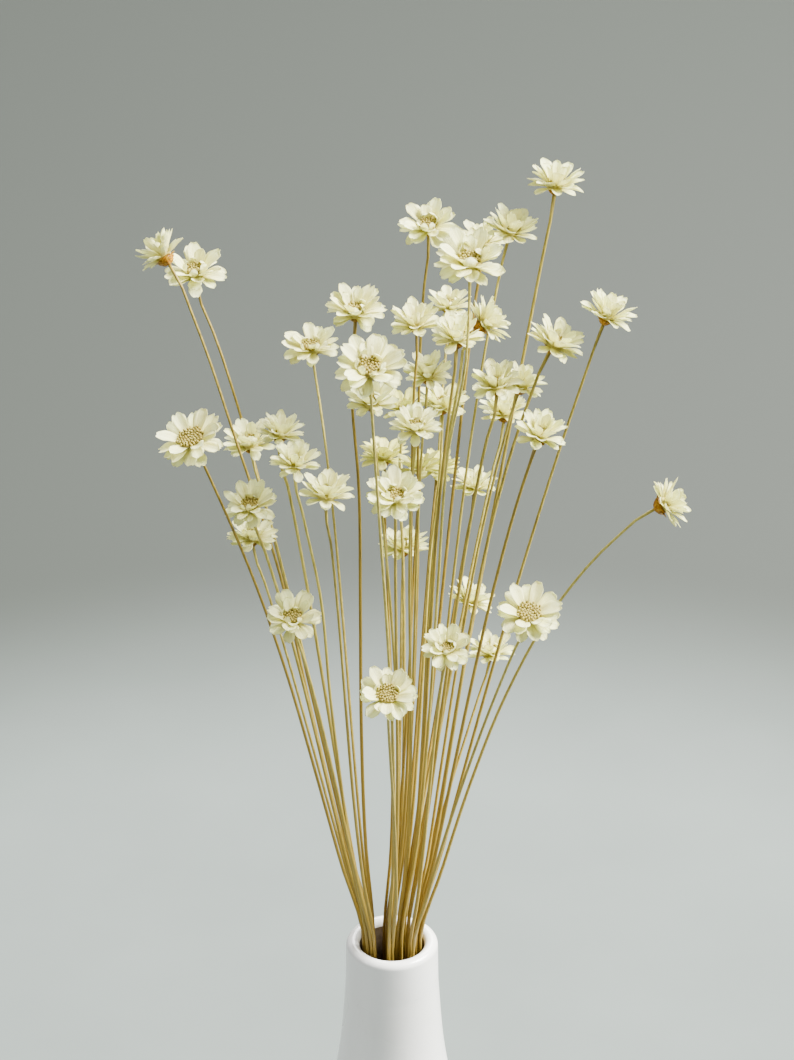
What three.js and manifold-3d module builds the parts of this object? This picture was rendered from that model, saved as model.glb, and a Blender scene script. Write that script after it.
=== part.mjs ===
// A bunch of dried star flowers standing in a small white ceramic bud vase.
// Millimetres, +Z up. The origin is the centre of the vase's flat foot, and -Y is the front.

import * as THREE from 'three';
import { mergeVertices } from 'three/addons/utils/BufferGeometryUtils.js';
import Module from 'manifold-3d';

const wasm = await Module();
wasm.setup();

// Vase
const VASE_HEIGHT = 140;
const VASE_SIDES = 26;
const FOOT_RADIUS = 21;
const MOUTH_RADIUS = 8.8;
const LIP_RADIUS = 12.4;
const FLOOR_THICKNESS = 5;
// Radius and height on the outside of the vase, from above the foot to below the lip
const VASE_OUTSIDE = [[24, 3], [26.2, 14], [25.2, 32], [21, 62], [16.6, 90], [14, 108], [12.6, 127]];
// Radius and height on its inside, from below the lip down to the floor
const VASE_INSIDE = [[9, 129], [10.5, 108], [12.9, 90], [17.3, 62], [21.5, 32], [21.8, 16], [17.5, 5]];
const OUTSIDE_STEPS = 7;
const INSIDE_STEPS = 5;
const LIP_DEPTH = 2;              // how far below the top the rounding of the lip begins
const LIP_CROWN = [0.9, 0.3];     // half the width of its highest ring, and how far that lies below the top

// Stems
const STEM_RADIUS = 0.42;
const STEM_SIDES = 5;
const CLEARANCE = 0.3;
const MOUTH_SPREAD = 7.9;         // farthest that a stem's middle stands from the axis in the mouth
const MOUTH_SPACING = 1.2;        // least distance between the middles of two stems in the mouth
const MOUTH_CLUSTER = 0.03;       // share of their heads' spread that a bundle's stems keep there
const MOUTH_ROUNDS = 300;
const MOUTH_PUSH = 0.3;
const FOOT_SCALE = 1.5;           // how far the bundles stand apart on the floor, against the mouth
const FOOT_RING = 0.36;           // radius on which the cut ends of one bundle stand
const STEM_STEPS = [0.16, 0.34, 0.53, 0.73, 0.9];
const STEM_GAP = 1.32;            // least distance between the middles of two stems above the mouth
const HEAD_GAP = 1.5;             // room left between a head's petals and the middle of a passing stem
const BEND_ROUNDS = 80;
const STEM_PUSH = 0.25;
const HEAD_PUSH = 0.35;
const HEAD_LEVELS = [-2, 2];      // heights beside a head's roots at which passing stems give way
const RISE_SHARE = 0.75;          // how far a stem starts along its bundle's rise
const AXIS_SHARE = 0.15;          // how far it ends along its head's axis
const END_PULL = 0.9;

// Flower heads, at the size of a head TYPICAL_HEAD across
const TYPICAL_HEAD = 14;
const HEAD_RISE = 1.3;            // from the roots of the petals up to the middle of the head
// The cup under a closed head and under one that has opened: its radius, and its depth from the roots
// of the petals down to the top of the bare stem
const CLOSED_CUP = { radius: 2.4, depth: 3 };
const OPEN_CUP = { radius: 1.5, depth: 2.2 };
const CUP_OPENS = 0.2;            // how far a head has opened when its cup is at its smallest
const CUP_RIM = -0.95;            // heights of the cup's widest ring and of its top
const CUP_TOP = -0.8;
const DISC_SIDES = 8;
const CLOSED_DISC = 1.85;         // radius of the disc in a closed and in an open head
const OPEN_DISC = 3.25;
const DISC_BASE = 0.95;
const DISC_RIM = 1.5;             // heights of the disc's widest ring and of its top
const DISC_TOP = 2.1;
const DISC_ROUGHNESS = 0.3;       // how far the corners of its crown stand above and below each other
const DISC_DIP = 0.25;            // how far its middle lies below the crown
const CROWN_SHARE = 0.72;         // radius of the crown against the rim
const THROAT_RADIUS = 0.5;        // the thin neck that runs up through the ring of petals
const HOLE_RADIUS = 1.28;
const HOLE_HEIGHTS = [-0.5, 0.62];
const ROOT_RADIUS = 2.05;         // the ring that the petals grow on
const ROOT_HEIGHTS = [-0.1, 0.3]; // heights at which the outer and the inner petals grow on it
const ROOT_THICKNESS = 0.4;
const SIX_PETAL_SHARE = 0.28;     // share of the heads with six petals in a layer; the rest have five
const FIVE_PETAL_BREADTH = 1.1;   // how much broader the petals are where there are five
// Degrees that the outer and the inner petals rise, from the lowest to the highest
const CLOSED_PITCH = [[8, 26], [50, 60]];
const OPEN_PITCH = [[-8, 8], [20, 32]];
const PETAL_THICKNESS = 0.62;
const CLOSED_HALF_WIDTH = 1.38;   // of a petal, in a closed and in an open head
const OPEN_HALF_WIDTH = 1.84;
const PETAL_LENGTHS = [[1.04, 1.14], [1.14, 1.28]]; // of both layers, against the room beside the ring
const PETAL_WIDTHS = [0.92, 1.06];
const END_WIDTHS = [0.6, 0.78];   // width of a petal's end against its broadest place
const BROAD_AT = 0.62;            // how far along a petal its broadest place is
const EDGE_LIFT = [0.4, 0.6];     // how far a petal's edges stand above its middle
const END_LIFT = 0.7;             // share of that left at its end
const TIP_LIFT = 0.1;
const CURL = [-10, 12];           // degrees that its end bends up
const SKEW = 0.35;                // how far it bends to either side
const NOTCHED_SHARE = 0.4;        // share of the petals that end in a notch
const NOTCH_REACH = 0.7;          // how far the notch reaches out, against the lobes beside it
const SHOULDER_REACH = 0.8;       // how far the shoulders of a round end reach, against its tip

// The bunch, by bundles whose stems meet at their cut ends. mouth is where a bundle passes through
// the vase's mouth and rise is how far it leans there, both as x and y. A head is given by its
// middle from the middle of the mouth (x, y, z), how many degrees it leans to the right and nods
// to the front, its width, how strongly its stem droops outwards at the top, and how far it has
// opened, from 0 to 1.
const BUNDLES = [
  { mouth: [-6.2, 3.4], rise: [-0.24, 0.14], heads: [
    [-59, 39, 187, -40, -25, 13, 0.2, 0], [-51, 51, 176, 0, 10, 15.8, 0.28, 0.5],
    [-37, 32, 136, -5, 0, 14.4, 0.1, 0.3]] },
  { mouth: [-7, 0], rise: [-0.25, 0.04], heads: [
    [-50, -7, 158, -18, 17, 15.4, 0.18, 0.9], [-36, 2, 134, -5, 15, 13.4, 0.12, 0.5],
    [-36, 14, 118, 0, 0, 12.6, 0.1, 0.4]] },
  { mouth: [-5.6, -3.4], rise: [-0.18, -0.06], heads: [
    [-28, 4, 154, 10, -5, 12, 0.1, 0.15], [-24, -10, 153, 5, 5, 12.4, 0.1, 0.2],
    [-16, -22, 151, 5, 0, 13.6, 0.1, 0.2], [-25, -12, 109, 0, 22, 14, 0.1, 0.5]] },
  { mouth: [-5.2, 1.4], rise: [-0.12, 0.08], heads: [
    [-9, 9, 186, 0, 8, 14.8, 0.05, 0.4], [-21, 45, 157, -5, 10, 14, 0.22, 0.5]] },
  { mouth: [-0.4, -4.8], rise: [0.1, -0.14], heads: [
    [-5, -47, 199, 0, 25, 16, 0.1, 0.6], [-1, -39, 103, 0, 25, 14.2, 0.08, 0.75],
    [1, -18, 148, 0, 20, 14.2, 0.1, 0.4]] },
  { mouth: [5.2, -4.2], rise: [0.16, -0.16], heads: [
    [34, -33, 123, 5, 22, 15.2, 0.12, 0.8], [14, -17, 103, 0, 30, 12.2, 0.1, 0.4]] },
  { mouth: [6.8, -0.6], rise: [0.2, 0], heads: [
    [69, -15, 144, 64, 0, 12.8, 0.62, 0], [54, 9, 185, 22, -12, 14, 0.06, 0.2],
    [41, 5, 179, 28, 0, 14.4, 0.2, 0.3], [37, -6, 159, 14, 6, 13.2, 0.1, 0.1]] },
  { mouth: [2, -2], rise: [0.18, -0.03], heads: [
    [19, -12, 210, 0, 16, 16.6, 0.1, 0.5], [16, -7, 187, 0, 0, 13.4, 0.1, 0.1],
    [6, -6, 161, 0, 5, 12.4, 0.1, 0.3]] },
  { mouth: [-0.4, 0.4], rise: [0.17, 0.04], heads: [
    [9, 22, 203, -5, 18, 14, 0.1, 0.5], [6, 4, 185, -5, 0, 13, 0.05, 0.2],
    [9, 13, 166, 0, 0, 12.6, 0.1, 0.15], [-5, 4, 163, 0, 0, 13, 0.1, 0.3]] },
  { mouth: [3.8, 0.9], rise: [0.16, 0.05], heads: [
    [30, 24, 201, 15, -5, 14, 0.12, 0.2], [24, 12, 181, 55, -10, 13, 0.12, 0],
    [26, 0, 170, -5, 5, 13, 0.12, 0.1]] },
  { mouth: [6.2, 3.2], rise: [0.14, 0.1], heads: [
    [41, 28, 212, 5, -8, 14.2, 0.02, 0.2], [33, 13, 163, 20, -5, 11.8, 0.12, 0.1],
    [26, 19, 80, 0, -5, 12.6, 0.1, 0.4]] },
  { mouth: [2.2, 4], rise: [0.17, 0.12], heads: [
    [23, 40, 190, 0, 0, 12.8, 0.12, 0.3], [13, 25, 151, 0, -5, 13.4, 0.12, 0.4],
    [29, 30, 146, 0, -5, 12.8, 0.12, 0.15]] },
  { mouth: [2.8, 6.8], rise: [0.1, 0.2], heads: [
    [15, 59, 162, 0, -5, 12, 0.12, 0.4], [21, 29, 90, 25, -10, 12.6, 0.1, 0.3],
    [12, 38, 125, 5, -10, 12, 0.1, 0.4], [22, 50, 113, 0, -5, 12.2, 0.1, 0.3]] },
  { mouth: [-1.2, 4.6], rise: [0.16, 0.16], heads: [
    [3, 34, 145, 0, -5, 12.6, 0.1, 0.4], [-2, 39, 128, 0, -10, 13, 0.1, 0.4],
    [7, 26, 132, -5, -10, 11.6, 0.1, 0.4], [3, 40, 100, 0, -10, 13.4, 0.1, 0.4]] },
];

const cream = new THREE.MeshStandardMaterial({ color: 0xefe9d2, roughness: 0.75, metalness: 0 });
const straw = new THREE.MeshStandardMaterial({ color: 0xb08a3a, roughness: 0.6, metalness: 0 });
const glaze = new THREE.MeshStandardMaterial({ color: 0xf1efe9, roughness: 0.25, metalness: 0 });

// A repeatable stream of numbers from 0 to 1
function draws(seed) {
  let state = seed >>> 0;
  return () => {
    state = (state + 0x6d2b79f5) >>> 0;
    let mixed = state;
    mixed = Math.imul(mixed ^ (mixed >>> 15), mixed | 1);
    mixed ^= mixed + Math.imul(mixed ^ (mixed >>> 7), mixed | 61);
    return ((mixed ^ (mixed >>> 14)) >>> 0) / 4294967296;
  };
}

function between(draw, low, high) {
  return low + (high - low) * draw();
}

// Corners and triangles gathered into one closed mesh
class Surface {
  constructor() {
    this.corners = [];
    this.triangles = [];
  }

  point(x, y, z) {
    this.corners.push(x, y, z);
    return this.corners.length / 3 - 1;
  }

  vector(v) {
    return this.point(v.x, v.y, v.z);
  }

  triangle(a, b, c) {
    this.triangles.push(a, b, c);
  }

  quad(a, b, c, d) {
    this.triangle(a, b, c);
    this.triangle(a, c, d);
  }

  geometry() {
    const geometry = new THREE.BufferGeometry();
    geometry.setAttribute('position', new THREE.Float32BufferAttribute(this.corners, 3));
    geometry.setIndex(this.triangles);
    return geometry;
  }
}

function solidOf(geometry) {
  const merged = mergeVertices(geometry, 1e-4);
  return new wasm.Manifold(new wasm.Mesh({
    numProp: 3,
    vertProperties: new Float32Array(merged.attributes.position.array),
    triVerts: new Uint32Array(merged.index.array),
  }));
}

function geometryOf(solid) {
  const mesh = solid.getMesh();
  const geometry = new THREE.BufferGeometry();
  geometry.setAttribute('position', new THREE.Float32BufferAttribute(mesh.vertProperties, 3));
  geometry.setIndex(new THREE.Uint32BufferAttribute(mesh.triVerts, 1));
  return geometry;
}

// The direction that a head faces
function axisOf(lean, nod) {
  const turn = THREE.MathUtils.degToRad(lean);
  const bow = THREE.MathUtils.degToRad(nod);
  return new THREE.Vector3(Math.sin(turn) * Math.cos(bow), -Math.sin(bow), Math.cos(turn) * Math.cos(bow));
}

function cupOf(opened, scale) {
  const share = Math.min(1, opened / CUP_OPENS);
  return {
    radius: THREE.MathUtils.lerp(CLOSED_CUP.radius, OPEN_CUP.radius, share) * scale,
    depth: THREE.MathUtils.lerp(CLOSED_CUP.depth, OPEN_CUP.depth, share) * scale,
  };
}

function flowersOf(bundles) {
  const flowers = [];
  bundles.forEach(({ heads }, bundle) => {
    for (const [x, y, z, lean, nod, width, droop, opened] of heads) {
      const axis = axisOf(lean, nod);
      const scale = width / TYPICAL_HEAD;
      const centre = new THREE.Vector3(x, y, z + VASE_HEIGHT).addScaledVector(axis, -HEAD_RISE * scale);
      const cup = cupOf(opened, scale);
      const base = centre.clone().addScaledVector(axis, -cup.depth);
      flowers.push({ bundle, centre, axis, width, scale, cup, base, droop, opened });
    }
  });
  return flowers;
}

// The stems of a bundle pass through the mouth close to each other, in the order of their heads
function placeInMouth(flowers) {
  BUNDLES.forEach(({ mouth }, bundle) => {
    const group = flowers.filter((flower) => flower.bundle === bundle);
    const middle = new THREE.Vector2();
    group.forEach((flower) => middle.add(new THREE.Vector2(flower.centre.x, flower.centre.y)));
    middle.divideScalar(group.length);
    for (const flower of group) {
      flower.mouth = new THREE.Vector2(flower.centre.x, flower.centre.y).sub(middle)
        .multiplyScalar(MOUTH_CLUSTER).add(new THREE.Vector2(...mouth));
    }
  });
  for (let round = 0; round < MOUTH_ROUNDS; round += 1) {
    for (let i = 0; i < flowers.length; i += 1) {
      for (let j = 0; j < i; j += 1) {
        const apart = flowers[i].mouth.clone().sub(flowers[j].mouth);
        const distance = apart.length();
        if (distance < MOUTH_SPACING) {
          apart.multiplyScalar(MOUTH_PUSH * (MOUTH_SPACING - distance) / distance);
          flowers[i].mouth.add(apart);
          flowers[j].mouth.sub(apart);
        }
      }
    }
    for (const flower of flowers) {
      const radius = flower.mouth.length();
      if (radius > MOUTH_SPREAD) {
        flower.mouth.multiplyScalar(MOUTH_SPREAD / radius);
      }
    }
  }
}

// The cut ends of a bundle stand close together on the vase's floor
function placeFeet(flowers) {
  BUNDLES.forEach((_, bundle) => {
    const group = flowers.filter((flower) => flower.bundle === bundle);
    const middle = new THREE.Vector2();
    group.forEach((flower) => middle.addScaledVector(flower.mouth, 1 / group.length));
    const turned = group.map((flower) => flower.mouth.clone().sub(middle).angle());
    const order = group.map((_, index) => index).sort((a, b) => turned[a] - turned[b]);
    order.forEach((index, place) => {
      const angle = turned[order[0]] + (2 * Math.PI * place) / group.length;
      group[index].foot = new THREE.Vector3(
        middle.x * FOOT_SCALE + FOOT_RING * Math.cos(angle),
        middle.y * FOOT_SCALE + FOOT_RING * Math.sin(angle),
        FLOOR_THICKNESS + CLEARANCE,
      );
    });
  });
}

function hermite(start, startPull, end, endPull, t) {
  const t2 = t * t;
  const t3 = t2 * t;
  return new THREE.Vector3()
    .addScaledVector(start, 2 * t3 - 3 * t2 + 1)
    .addScaledVector(startPull, t3 - 2 * t2 + t)
    .addScaledVector(end, -2 * t3 + 3 * t2)
    .addScaledVector(endPull, t3 - t2);
}

// Foot, mouth, the steps above it, and the base of the head
function drawStems(flowers) {
  for (const flower of flowers) {
    const mouth = new THREE.Vector3(flower.mouth.x, flower.mouth.y, VASE_HEIGHT);
    const rise = new THREE.Vector3(...BUNDLES[flower.bundle].rise, 1).normalize();
    const outward = new THREE.Vector3(flower.centre.x, flower.centre.y, 0).normalize();
    const chord = flower.base.clone().sub(mouth);
    const length = chord.length();
    chord.divideScalar(length);
    const startPull = rise.lerp(chord, 1 - RISE_SHARE).multiplyScalar(length);
    const endPull = chord.addScaledVector(outward, flower.droop).addScaledVector(flower.axis, AXIS_SHARE)
      .normalize().multiplyScalar(END_PULL * length);
    flower.path = [flower.foot, mouth];
    for (const t of STEM_STEPS) {
      flower.path.push(hermite(mouth, startPull, flower.base, endPull, t));
    }
    flower.path.push(flower.base);
  }
}

// The span of a stem that a height falls in, and how far along that span it is
function spanAt(path, z) {
  let span = 1;
  while (span < path.length - 2 && path[span + 1].z < z) {
    span += 1;
  }
  const low = path[span];
  const high = path[span + 1];
  return [span, (z - low.z) / (high.z - low.z)];
}

function pointAt(flower, z) {
  const [span, along] = spanAt(flower.path, z);
  const low = flower.path[span];
  const high = flower.path[span + 1];
  return [span, along, low.x + (high.x - low.x) * along, low.y + (high.y - low.y) * along];
}

// Moves the two ends of a span so that the stem gives way at one height
function giveWay(flower, span, along, dx, dy) {
  const last = flower.path.length - 1;
  const share = (1 - along) * (1 - along) + along * along;
  if (span > 1) {
    flower.path[span].x += dx * (1 - along) / share;
    flower.path[span].y += dy * (1 - along) / share;
  }
  if (span + 1 < last) {
    flower.path[span + 1].x += dx * along / share;
    flower.path[span + 1].y += dy * along / share;
  }
}

// Bends the stems clear of each other and of the heads that they pass
function bendClear(flowers) {
  for (let round = 0; round < BEND_ROUNDS; round += 1) {
    for (const stem of flowers) {
      const top = stem.path[stem.path.length - 1].z;
      for (const other of flowers) {
        if (other === stem) {
          continue;
        }
        const room = other.width / 2 + HEAD_GAP;
        for (const level of HEAD_LEVELS) {
          const z = other.centre.z + level;
          if (z < top) {
            const [span, along, x, y] = pointAt(stem, z);
            const dx = x - other.centre.x;
            const dy = y - other.centre.y;
            const distance = Math.sqrt(dx * dx + dy * dy);
            if (distance < room) {
              const push = HEAD_PUSH * (room - distance) / distance;
              giveWay(stem, span, along, dx * push, dy * push);
            }
          }
        }
        const otherTop = other.path[other.path.length - 1].z;
        for (let step = 2; step < stem.path.length - 1; step += 1) {
          const here = stem.path[step];
          if (here.z < otherTop) {
            const [span, along, x, y] = pointAt(other, here.z);
            const dx = here.x - x;
            const dy = here.y - y;
            const distance = Math.sqrt(dx * dx + dy * dy);
            if (distance < STEM_GAP) {
              const push = STEM_PUSH * (STEM_GAP - distance) / distance;
              here.x += dx * push;
              here.y += dy * push;
              giveWay(other, span, along, -dx * push, -dy * push);
            }
          }
        }
      }
    }
  }
}

// A ring of points across a stem or head
function ringAcross(centre, axis, radius, sides, turn) {
  const across = new THREE.Vector3(1, 0, 0);
  across.addScaledVector(axis, -across.dot(axis)).normalize();
  const around = new THREE.Vector3().crossVectors(axis, across);
  const ring = [];
  for (let side = 0; side < sides; side += 1) {
    const angle = turn + (2 * Math.PI * side) / sides;
    ring.push(centre.clone()
      .addScaledVector(across, radius * Math.cos(angle))
      .addScaledVector(around, radius * Math.sin(angle)));
  }
  return ring;
}

// Joins two rings that need not have the same number of points
function stitch(surface, lower, upper) {
  let i = 0;
  let j = 0;
  while (i < lower.length || j < upper.length) {
    const low = lower[i % lower.length];
    const high = upper[j % upper.length];
    const lowNext = (i + 1) / lower.length;
    const highNext = (j + 1) / upper.length;
    if (i < lower.length && (j >= upper.length || lowNext <= highNext)) {
      surface.triangle(low, lower[(i + 1) % lower.length], high);
      i += 1;
    } else {
      surface.triangle(low, upper[(j + 1) % upper.length], high);
      j += 1;
    }
  }
}

// A stem with the cup under its petals and the disc of florets above them
function goldenSolid(flower) {
  const { path, axis, centre, scale, cup, opened } = flower;
  const rim = THREE.MathUtils.lerp(CLOSED_DISC, OPEN_DISC, opened * opened) * scale;
  const rings = [];
  for (let step = 0; step < path.length; step += 1) {
    const before = path[Math.max(step - 1, 0)];
    const after = path[Math.min(step + 1, path.length - 1)];
    const along = step === path.length - 1 ? axis : after.clone().sub(before).normalize();
    rings.push(ringAcross(path[step], along, STEM_RADIUS, STEM_SIDES, 0));
  }
  const at = (height) => centre.clone().addScaledVector(axis, height * scale);
  rings.push(ringAcross(at(CUP_RIM), axis, cup.radius, DISC_SIDES, 0));
  rings.push(ringAcross(at(CUP_TOP), axis, THROAT_RADIUS, STEM_SIDES, 0));
  rings.push(ringAcross(at(DISC_BASE), axis, THROAT_RADIUS, STEM_SIDES, 0));
  rings.push(ringAcross(at(DISC_RIM), axis, rim, DISC_SIDES, 0));
  const crown = ringAcross(at(DISC_TOP), axis, CROWN_SHARE * rim, DISC_SIDES, 0);
  crown.forEach((point, side) => point.addScaledVector(axis, (side % 2 ? -1 : 1) * DISC_ROUGHNESS * scale));
  rings.push(crown);

  const surface = new Surface();
  const loops = rings.map((ring) => ring.map((point) => surface.vector(point)));
  const first = loops[0];
  for (let side = 1; side < first.length - 1; side += 1) {
    surface.triangle(first[0], first[side + 1], first[side]);
  }
  for (let step = 0; step + 1 < loops.length; step += 1) {
    stitch(surface, loops[step], loops[step + 1]);
  }
  const last = loops[loops.length - 1];
  const tip = surface.vector(at(DISC_TOP - DISC_DIP));
  last.forEach((corner, side) => surface.triangle(corner, last[(side + 1) % last.length], tip));
  return solidOf(surface.geometry());
}

// One petal: a cupped blade from its root ring to a rounded or notched end
function addPetal(surface, root, angle, petal) {
  const out = new THREE.Vector3(Math.cos(angle), Math.sin(angle), 0);
  const side = new THREE.Vector3(-Math.sin(angle), Math.cos(angle), 0);
  const up = new THREE.Vector3(0, 0, 1);
  const start = out.clone().multiplyScalar(ROOT_RADIUS * petal.scale).addScaledVector(up, petal.rootHeight);
  const along = (pitch) => out.clone().multiplyScalar(Math.cos(pitch)).addScaledVector(up, Math.sin(pitch));
  const normal = (pitch) => up.clone().multiplyScalar(Math.cos(pitch)).addScaledVector(out, -Math.sin(pitch));
  const place = (base, across, lift, pitch) => surface.vector(
    base.clone().addScaledVector(side, across).addScaledVector(normal(pitch), lift));

  const reach = petal.length * BROAD_AT;
  const rest = petal.length - reach;
  const wide = start.clone().addScaledVector(along(petal.pitch), reach)
    .addScaledVector(side, petal.skew * BROAD_AT);
  const curl = petal.pitch + petal.curl;
  const beyond = (share) => wide.clone().addScaledVector(along(curl), rest * share)
    .addScaledVector(side, petal.skew * (1 - BROAD_AT));
  const end = beyond(petal.notched ? NOTCH_REACH : 1);
  const shoulder = beyond(petal.notched ? 1 : SHOULDER_REACH);
  const half = petal.halfWidth;
  const middle = [
    place(wide, -half, petal.edgeLift, petal.pitch),
    place(wide, 0, PETAL_THICKNESS / 2, petal.pitch),
    place(wide, half, petal.edgeLift, petal.pitch),
    place(wide, 0, -PETAL_THICKNESS / 2, petal.pitch),
  ];
  const right = place(shoulder, -half * petal.endWidth, petal.edgeLift * END_LIFT, curl);
  const tip = place(end, 0, TIP_LIFT, curl);
  const left = place(shoulder, half * petal.endWidth, petal.edgeLift * END_LIFT, curl);
  for (let corner = 0; corner < 4; corner += 1) {
    const next = (corner + 1) % 4;
    surface.quad(root[corner], middle[corner], middle[next], root[next]);
  }
  const edge = [right, tip, left, tip];
  for (let corner = 0; corner < 4; corner += 1) {
    const next = (corner + 1) % 4;
    surface.triangle(middle[corner], edge[corner], edge[next]);
    surface.triangle(middle[corner], edge[next], middle[next]);
  }
}

function petalFor(draw, flower, layer) {
  const { scale, width, opened, petalsInLayer } = flower;
  const breadth = petalsInLayer === 6 ? 1 : FIVE_PETAL_BREADTH;
  const halfWidth = THREE.MathUtils.lerp(CLOSED_HALF_WIDTH, OPEN_HALF_WIDTH, opened);
  const [pitchLow, pitchHigh] = CLOSED_PITCH[layer].map(
    (closed, end) => THREE.MathUtils.lerp(closed, OPEN_PITCH[layer][end], opened));
  const reach = width / 2 - ROOT_RADIUS * scale;
  return {
    scale,
    rootHeight: ROOT_HEIGHTS[layer] * scale,
    pitch: THREE.MathUtils.degToRad(between(draw, pitchLow, pitchHigh)),
    length: reach * between(draw, ...PETAL_LENGTHS[layer]),
    halfWidth: scale * halfWidth * breadth * between(draw, ...PETAL_WIDTHS),
    endWidth: between(draw, ...END_WIDTHS),
    edgeLift: between(draw, ...EDGE_LIFT) * scale,
    curl: THREE.MathUtils.degToRad(between(draw, ...CURL)),
    skew: between(draw, -SKEW, SKEW) * scale,
    notched: draw() < NOTCHED_SHARE,
  };
}

// Two layers of petals on one ring, which the throat of the stem runs up through
function petalRing(flower, draw) {
  const { scale, petalsInLayer, spin } = flower;
  const surface = new Surface();
  const count = petalsInLayer;
  const step = (2 * Math.PI) / count;
  const onRing = (radius, angle, height) => surface.point(
    radius * scale * Math.cos(angle), radius * scale * Math.sin(angle), height * scale);
  const seam = [];
  const outerTop = [];
  const outerBottom = [];
  const innerTop = [];
  const holeBottom = [];
  const holeTop = [];
  for (let k = 0; k < count; k += 1) {
    const angle = spin + k * step;
    seam.push(onRing(ROOT_RADIUS, angle, ROOT_HEIGHTS[0]));
    outerTop.push(onRing(ROOT_RADIUS, angle + step / 2, ROOT_HEIGHTS[1]));
    outerBottom.push(onRing(ROOT_RADIUS, angle + step / 2, ROOT_HEIGHTS[0] - ROOT_THICKNESS));
    innerTop.push(onRing(ROOT_RADIUS, angle + step, ROOT_HEIGHTS[1] + ROOT_THICKNESS));
    holeBottom.push(onRing(HOLE_RADIUS, angle, HOLE_HEIGHTS[0]));
    holeTop.push(onRing(HOLE_RADIUS, angle, HOLE_HEIGHTS[1]));
  }
  for (let k = 0; k < count; k += 1) {
    const next = (k + 1) % count;
    surface.triangle(holeBottom[k], outerBottom[k], seam[k]);
    surface.triangle(holeBottom[k], holeBottom[next], outerBottom[k]);
    surface.triangle(holeBottom[next], seam[next], outerBottom[k]);
    surface.triangle(holeTop[k], outerTop[k], holeTop[next]);
    surface.triangle(holeTop[next], outerTop[k], innerTop[k]);
    surface.triangle(holeTop[next], innerTop[k], outerTop[next]);
    surface.triangle(holeBottom[k], holeTop[next], holeBottom[next]);
    surface.triangle(holeBottom[k], holeTop[k], holeTop[next]);
    const angle = spin + k * step;
    addPetal(surface, [seam[k], outerTop[k], seam[next], outerBottom[k]],
      angle + step / 2, petalFor(draw, flower, 0));
    addPetal(surface, [outerTop[k], innerTop[k], outerTop[next], seam[next]],
      angle + step, petalFor(draw, flower, 1));
  }
  return surface.geometry();
}

function petalMesh(flower, number) {
  const draw = draws(101 + 17 * number);
  flower.spin = between(draw, 0, 2 * Math.PI);
  flower.petalsInLayer = draw() < SIX_PETAL_SHARE ? 6 : 5;
  const mesh = new THREE.Mesh(petalRing(flower, draw), cream);
  mesh.name = `petals_${String(number + 1).padStart(2, '0')}`;
  mesh.position.copy(flower.centre);
  mesh.quaternion.setFromUnitVectors(new THREE.Vector3(0, 0, 1), flower.axis);
  return mesh;
}

function bundleMesh(flowers, bundle) {
  const solids = flowers.filter((flower) => flower.bundle === bundle).map(goldenSolid);
  const fused = solids.reduce((whole, solid) => whole.add(solid));
  const mesh = new THREE.Mesh(geometryOf(fused), straw);
  mesh.name = `stems_${String(bundle + 1).padStart(2, '0')}`;
  return mesh;
}

function vaseMesh() {
  const outside = new THREE.SplineCurve(VASE_OUTSIDE.map(([r, z]) => new THREE.Vector2(r, z)));
  const inside = new THREE.SplineCurve(VASE_INSIDE.map(([r, z]) => new THREE.Vector2(r, z)));
  const lipMiddle = (MOUTH_RADIUS + LIP_RADIUS) / 2;
  const profile = [
    new THREE.Vector2(0, 0),
    new THREE.Vector2(FOOT_RADIUS, 0),
    ...outside.getPoints(OUTSIDE_STEPS),
    new THREE.Vector2(LIP_RADIUS, VASE_HEIGHT - LIP_DEPTH),
    new THREE.Vector2(lipMiddle + LIP_CROWN[0], VASE_HEIGHT - LIP_CROWN[1]),
    new THREE.Vector2(lipMiddle - LIP_CROWN[0], VASE_HEIGHT - LIP_CROWN[1]),
    new THREE.Vector2(MOUTH_RADIUS, VASE_HEIGHT - LIP_DEPTH),
    ...inside.getPoints(INSIDE_STEPS),
    new THREE.Vector2(0, FLOOR_THICKNESS),
  ];
  const geometry = new THREE.LatheGeometry(profile, VASE_SIDES);
  geometry.deleteAttribute('normal');
  geometry.deleteAttribute('uv');
  geometry.rotateX(Math.PI / 2);
  const mesh = new THREE.Mesh(mergeVertices(geometry, 1e-4), glaze);
  mesh.name = 'vase';
  return mesh;
}

const flowers = flowersOf(BUNDLES);
placeInMouth(flowers);
placeFeet(flowers);
drawStems(flowers);
bendClear(flowers);

const bunch = new THREE.Group();
bunch.add(vaseMesh());
BUNDLES.forEach((_, bundle) => bunch.add(bundleMesh(flowers, bundle)));
flowers.forEach((flower, number) => bunch.add(petalMesh(flower, number)));

export default bunch;
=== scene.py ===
import math

import bpy
import numpy as np
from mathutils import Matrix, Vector


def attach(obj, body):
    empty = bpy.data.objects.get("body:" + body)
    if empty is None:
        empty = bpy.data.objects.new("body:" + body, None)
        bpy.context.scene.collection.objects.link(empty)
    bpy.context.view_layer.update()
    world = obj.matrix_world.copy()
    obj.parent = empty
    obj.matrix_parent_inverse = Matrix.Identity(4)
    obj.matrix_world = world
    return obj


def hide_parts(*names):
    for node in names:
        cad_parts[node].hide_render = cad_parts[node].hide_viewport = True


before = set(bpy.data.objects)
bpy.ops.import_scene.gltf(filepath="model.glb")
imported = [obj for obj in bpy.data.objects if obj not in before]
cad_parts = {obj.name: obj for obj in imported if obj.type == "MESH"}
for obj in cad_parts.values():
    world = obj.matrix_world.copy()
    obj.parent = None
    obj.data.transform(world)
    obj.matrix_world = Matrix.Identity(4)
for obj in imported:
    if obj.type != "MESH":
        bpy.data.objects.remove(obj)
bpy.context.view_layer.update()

# A bunch of dried star flowers in a small white ceramic bud vase.
# Lengths are millimetres until a mesh is made, which is in metres. +Z is up and -Y is the front.
MILLIMETRE = 0.001

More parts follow.
